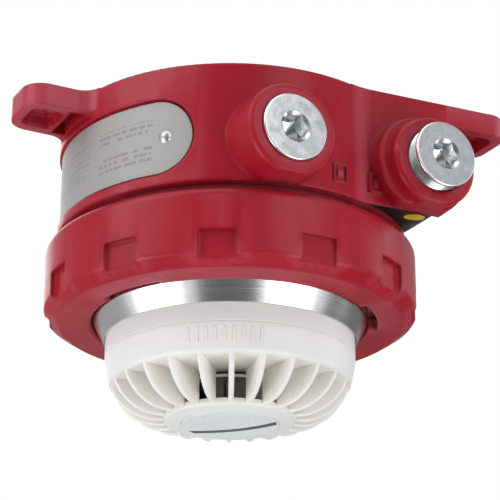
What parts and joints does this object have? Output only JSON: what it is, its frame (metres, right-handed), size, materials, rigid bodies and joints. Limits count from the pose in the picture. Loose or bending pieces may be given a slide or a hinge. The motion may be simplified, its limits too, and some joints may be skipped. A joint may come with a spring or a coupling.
{
  "type": "heat detector",
  "caption": "Ceiling heat detector: round cast housing with side cable entries and stopping plugs, a notched screwed locking ring, and a finned sensor head with a bright flange.",
  "frame": {"origin": "centre of the flat mounting face, on the axis of the round housing", "axes": "+Z out of the mounting face, up into the ceiling; -Y the way the cable entries face; the lugs reach along -X and +X"},
  "size_m": [0.1831, 0.1609, 0.1222],
  "materials": {
    "housing": "gloss",
    "threaded_neck": "satin",
    "tray_pillars": "satin",
    "nameplate": "satin",
    "nameplate_pins": "satin",
    "underside_label": "satin",
    "label_badge": "satin",
    "terminal_tray": "satin",
    "tray_screws": "satin",
    "terminal_block": "matt",
    "terminal_clamps": "satin",
    "terminal_screws": "satin",
    "earth_screw": "satin",
    "earth_washer": "satin",
    "socket_connector": "matt",
    "cover_seal": "matt",
    "locking_ring": "gloss",
    "ring_lock_screw": "satin",
    "sensor_flange": "turned",
    "sensor_bulkhead": "turned",
    "head_screws": "satin",
    "feedthrough_potting": "matt",
    "contact_pins": "satin",
    "head_body": "satin",
    "sensor_cage": "satin",
    "hub_disc": "gloss",
    "hub_strip": "gloss",
    "element_guard": "satin",
    "thermistor_holder": "matt",
    "thermistor_leads": "satin",
    "thermistor_bead": "gloss",
    "detector_board": "satin",
    "board_screws": "satin",
    "board_components": "satin",
    "indicator_led": "gloss",
    "indicator_light_pipe": "gloss",
    "entry_plug_1": "satin",
    "entry_plug_2": "satin",
    "plug_seal_1": "matt",
    "plug_seal_2": "matt"
  },
  "bodies": {
    "housing": {"housing": "housing", "threaded_neck": "threaded_neck", "tray_pillars": "tray_pillars", "nameplate": "nameplate", "nameplate_pins": "nameplate_pins", "underside_label": "underside_label", "label_badge": "label_badge", "terminal_tray": "terminal_tray", "tray_screws": "tray_screws", "terminal_block": "terminal_block", "terminal_clamps": "terminal_clamps", "terminal_screws": "terminal_screws", "earth_screw": "earth_screw", "earth_washer": "earth_washer", "socket_connector": "socket_connector", "cover_seal": "cover_seal"},
    "sensor_unit": {"sensor_flange": "sensor_flange", "sensor_bulkhead": "sensor_bulkhead", "head_screws": "head_screws", "feedthrough_potting": "feedthrough_potting", "contact_pins": "contact_pins", "head_body": "head_body", "sensor_cage": "sensor_cage", "hub_disc": "hub_disc", "hub_strip": "hub_strip", "element_guard": "element_guard", "thermistor_holder": "thermistor_holder", "thermistor_leads": "thermistor_leads", "thermistor_bead": "thermistor_bead", "detector_board": "detector_board", "board_screws": "board_screws", "board_components": "board_components", "indicator_led": "indicator_led", "indicator_light_pipe": "indicator_light_pipe"},
    "locking_ring": {"locking_ring": "locking_ring", "ring_lock_screw": "ring_lock_screw"},
    "plug_1_travel": {"plug_seal_1": "plug_seal_1"},
    "plug_1": {"entry_plug_1": "entry_plug_1"},
    "plug_2_travel": {"plug_seal_2": "plug_seal_2"},
    "plug_2": {"entry_plug_2": "entry_plug_2"}
  },
  "joints": [
    {"name": "unit_travel", "type": "slide", "parent": "housing", "child": "sensor_unit", "axis": [0, 0, -1], "range_m": [0, 0.02]},
    {"name": "ring_turn", "type": "hinge", "parent": "sensor_unit", "child": "locking_ring", "pos_m": [0, 0, -0.067], "axis": [0, 0, -1], "range_deg": [0, 3600]},
    {"name": "plug_1_travel", "type": "slide", "parent": "housing", "child": "plug_1_travel", "axis": [0, -1, 0], "range_m": [0, 0.015]},
    {"name": "plug_1_turn", "type": "hinge", "parent": "plug_1_travel", "child": "plug_1", "pos_m": [-0.0152, -0.08, -0.031], "axis": [0, -1, 0], "range_deg": [0, 3600]},
    {"name": "plug_2_travel", "type": "slide", "parent": "housing", "child": "plug_2_travel", "axis": [0, -1, 0], "range_m": [-0.00525, 0.00975]},
    {"name": "plug_2_turn", "type": "hinge", "parent": "plug_2_travel", "child": "plug_2", "pos_m": [0.0473, -0.08, -0.031], "axis": [0, -1, 0], "range_deg": [-1260, 2340]}
  ],
  "couplings": [
    {"joint": "unit_travel", "follows": "ring_turn", "m_per_rad": 0.0003183},
    {"joint": "plug_1_travel", "follows": "plug_1_turn", "m_per_rad": 0.0002387},
    {"joint": "plug_2_travel", "follows": "plug_2_turn", "m_per_rad": 0.0002387}
  ]
}
